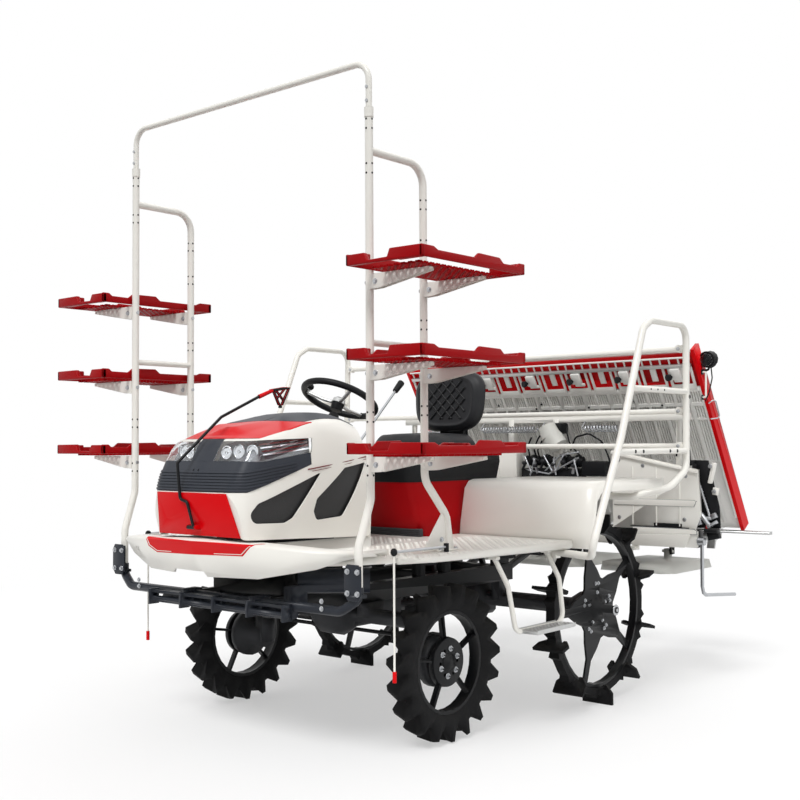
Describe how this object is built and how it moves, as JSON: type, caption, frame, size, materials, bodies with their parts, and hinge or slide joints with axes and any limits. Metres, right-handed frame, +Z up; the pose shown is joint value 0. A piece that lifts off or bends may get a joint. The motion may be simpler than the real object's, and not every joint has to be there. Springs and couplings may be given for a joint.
{
  "type": "rice transplanter",
  "caption": "Ride-on rice transplanter with lugged tyres, side seedling racks, a bonnet with visor, a tipping seat and a raised rear planting unit with sloping seedling tray.",
  "frame": {"origin": "on the floor under the middle of the machine's overall length and width", "axes": "+Z up, the machine faces -Y, +X is the driver's left"},
  "size_m": [2.2386, 3.3282, 2.6933],
  "materials": {
    "tyre": "matt",
    "black_paint": "satin",
    "white_paint": "satin",
    "red_paint": "gloss",
    "red_plastic": "gloss",
    "grey_plastic": "matt",
    "cast_iron": "cast",
    "steel": "bright",
    "aluminium": "as cast",
    "seat_vinyl": "grained",
    "lamp_lens": "clear",
    "float_plastic": "matt",
    "deck_paint": "anti-slip"
  },
  "bodies": {
    "chassis": {"bonnet_front": "red_plastic", "bonnet_sides": "white_paint", "bonnet_top": "red_paint", "dash": "grey_plastic", "deck": "deck_paint", "drive_line": "cast_iron", "engine": "cast_iron", "fender_left": "white_paint", "fender_right": "white_paint", "front_apron": "white_paint", "guard_rails": "white_paint", "headlamp_left": "lamp_lens", "headlamp_right": "lamp_lens", "main_frame": "black_paint", "rack_carrier": "black_paint", "rack_hoop": "white_paint", "rack_left": "white_paint", "rack_right": "white_paint", "seat_base": "red_plastic", "shelf_left_bottom": "red_plastic", "shelf_left_middle": "red_plastic", "shelf_left_top": "red_plastic", "shelf_right_bottom": "red_plastic", "shelf_right_middle": "red_plastic", "shelf_right_top": "red_plastic", "step_left": "white_paint", "step_right": "white_paint", "visor": "grey_plastic"},
    "wheel_front_left": {"wheel_front_left": "black_paint", "tyre_front_left": "tyre"},
    "wheel_front_right": {"wheel_front_right": "black_paint", "tyre_front_right": "tyre"},
    "wheel_rear_left": {"wheel_rear_left": "black_paint", "tyre_rear_left": "tyre"},
    "wheel_rear_right": {"wheel_rear_right": "black_paint", "tyre_rear_right": "tyre"},
    "knuckle_left": {"knuckle_left": "cast_iron"},
    "knuckle_right": {"knuckle_right": "cast_iron"},
    "tie_rod": {"tie_rod": "steel"},
    "steering_wheel": {"steering_wheel": "grey_plastic"},
    "seat": {"seat": "seat_vinyl"},
    "row_marker_left": {"row_marker_left": "steel"},
    "row_marker_right": {"row_marker_right": "steel"},
    "centre_marker": {"centre_marker": "black_paint"},
    "lower_links": {"lower_links": "black_paint"},
    "upper_links": {"upper_links": "black_paint"},
    "lift_rod": {"lift_rod": "steel"},
    "planter": {"planter_frame": "white_paint"},
    "tray": {"seedling_tray": "white_paint", "tray_edge": "red_paint"},
    "rotor_left": {"rotor_left": "aluminium"},
    "float_left": {"float_left": "float_plastic"},
    "rotor_centre": {"rotor_centre": "aluminium"},
    "float_centre": {"float_centre": "float_plastic"},
    "rotor_right": {"rotor_right": "aluminium"},
    "float_right": {"float_right": "float_plastic"},
    "stand_left": {"stand_left": "steel"},
    "stand_right": {"stand_right": "steel"}
  },
  "joints": [
    {"name": "steer_left", "type": "hinge", "parent": "chassis", "child": "knuckle_left", "pos_m": [0.47, -0.7865, 0.325], "axis": [0, 0, 1], "range_deg": [-38, 38]},
    {"name": "front_wheel_spin_left", "type": "hinge", "parent": "knuckle_left", "child": "wheel_front_left", "pos_m": [0.625, -0.7865, 0.325], "axis": [1, 0, 0], "continuous": true},
    {"name": "rear_wheel_spin_left", "type": "hinge", "parent": "chassis", "child": "wheel_rear_left", "pos_m": [0.755, 0.2065, 0.446], "axis": [1, 0, 0], "continuous": true},
    {"name": "steer_right", "type": "hinge", "parent": "chassis", "child": "knuckle_right", "pos_m": [-0.47, -0.7865, 0.325], "axis": [0, 0, 1], "range_deg": [-38, 38]},
    {"name": "front_wheel_spin_right", "type": "hinge", "parent": "knuckle_right", "child": "wheel_front_right", "pos_m": [-0.625, -0.7865, 0.325], "axis": [1, 0, 0], "continuous": true},
    {"name": "rear_wheel_spin_right", "type": "hinge", "parent": "chassis", "child": "wheel_rear_right", "pos_m": [-0.755, 0.2065, 0.446], "axis": [1, 0, 0], "continuous": true},
    {"name": "tie_rod_slide", "type": "slide", "parent": "chassis", "child": "tie_rod", "axis": [-1, 0, 0], "range_m": [-0.0797, 0.0797]},
    {"name": "steering_wheel_turn", "type": "hinge", "parent": "chassis", "child": "steering_wheel", "pos_m": [0, -0.79327, 1.36945], "axis": [0, 0.4541, 0.891], "range_deg": [-456, 456]},
    {"name": "seat_tip", "type": "hinge", "parent": "chassis", "child": "seat", "pos_m": [0, -0.3865, 1.188], "axis": [-1, 0, 0], "range_deg": [-75, 0]},
    {"name": "row_marker_swing_left", "type": "hinge", "parent": "chassis", "child": "row_marker_left", "pos_m": [0.768, -0.9565, 0.82], "axis": [0, 0, 1], "range_deg": [0, 90]},
    {"name": "row_marker_swing_right", "type": "hinge", "parent": "chassis", "child": "row_marker_right", "pos_m": [-0.768, -0.9565, 0.82], "axis": [0, 0, -1], "range_deg": [0, 90]},
    {"name": "centre_marker_swing", "type": "hinge", "parent": "chassis", "child": "centre_marker", "pos_m": [0, -1.6165, 0.903], "axis": [1, 0, 0], "range_deg": [0, 100]},
    {"name": "lift", "type": "hinge", "parent": "chassis", "child": "lower_links", "pos_m": [0, 0.3135, 0.56], "axis": [-1, 0, 0], "range_deg": [0, 50]},
    {"name": "upper_link_turn", "type": "hinge", "parent": "chassis", "child": "upper_links", "pos_m": [0, 0.3135, 0.8], "axis": [-1, 0, 0], "range_deg": [0, 50]},
    {"name": "planter_level", "type": "hinge", "parent": "lower_links", "child": "planter", "pos_m": [0, 0.73636, 0.71391], "axis": [1, 0, 0], "range_deg": [0, 50]},
    {"name": "lift_rod_slide", "type": "slide", "parent": "chassis", "child": "lift_rod", "axis": [0, 1, 0], "range_m": [0, 0.1034]},
    {"name": "tray_shift", "type": "slide", "parent": "planter", "child": "tray", "axis": [1, 0, 0], "range_m": [-0.13, 0.13]},
    {"name": "planting_rotor_left", "type": "hinge", "parent": "planter", "child": "rotor_left", "pos_m": [0.6, 1.5855, 0.735], "axis": [1, 0, 0], "continuous": true},
    {"name": "float_tilt_left", "type": "hinge", "parent": "planter", "child": "float_left", "pos_m": [0.6, 1.2335, 0.63], "axis": [-1, 0, 0], "range_deg": [0, 8]},
    {"name": "planting_rotor_centre", "type": "hinge", "parent": "planter", "child": "rotor_centre", "pos_m": [0, 1.5855, 0.735], "axis": [1, 0, 0], "continuous": true},
    {"name": "float_tilt_centre", "type": "hinge", "parent": "planter", "child": "float_centre", "pos_m": [0, 1.2335, 0.63], "axis": [-1, 0, 0], "range_deg": [0, 8]},
    {"name": "planting_rotor_right", "type": "hinge", "parent": "planter", "child": "rotor_right", "pos_m": [-0.6, 1.5855, 0.735], "axis": [1, 0, 0], "continuous": true},
    {"name": "float_tilt_right", "type": "hinge", "parent": "planter", "child": "float_right", "pos_m": [-0.6, 1.2335, 0.63], "axis": [-1, 0, 0], "range_deg": [0, 8]},
    {"name": "stand_fold_left", "type": "hinge", "parent": "planter", "child": "stand_left", "pos_m": [1.02, 0.7835, 0.735], "axis": [1, 0, 0], "range_deg": [0, 85]},
    {"name": "stand_fold_right", "type": "hinge", "parent": "planter", "child": "stand_right", "pos_m": [-1.02, 0.7835, 0.735], "axis": [1, 0, 0], "range_deg": [0, 85]}
  ],
  "couplings": [
    {"joint": "steer_right", "follows": "steer_left", "ratio": 1},
    {"joint": "tie_rod_slide", "follows": "steer_left", "m_per_rad": 0.11139},
    {"joint": "steering_wheel_turn", "follows": "steer_left", "ratio": 12},
    {"joint": "upper_link_turn", "follows": "lift", "ratio": 1},
    {"joint": "planter_level", "follows": "lift", "ratio": 1},
    {"joint": "lift_rod_slide", "follows": "lift", "m_per_rad": 0.11621},
    {"joint": "planting_rotor_centre", "follows": "planting_rotor_left", "ratio": 1},
    {"joint": "planting_rotor_right", "follows": "planting_rotor_left", "ratio": 1}
  ]
}
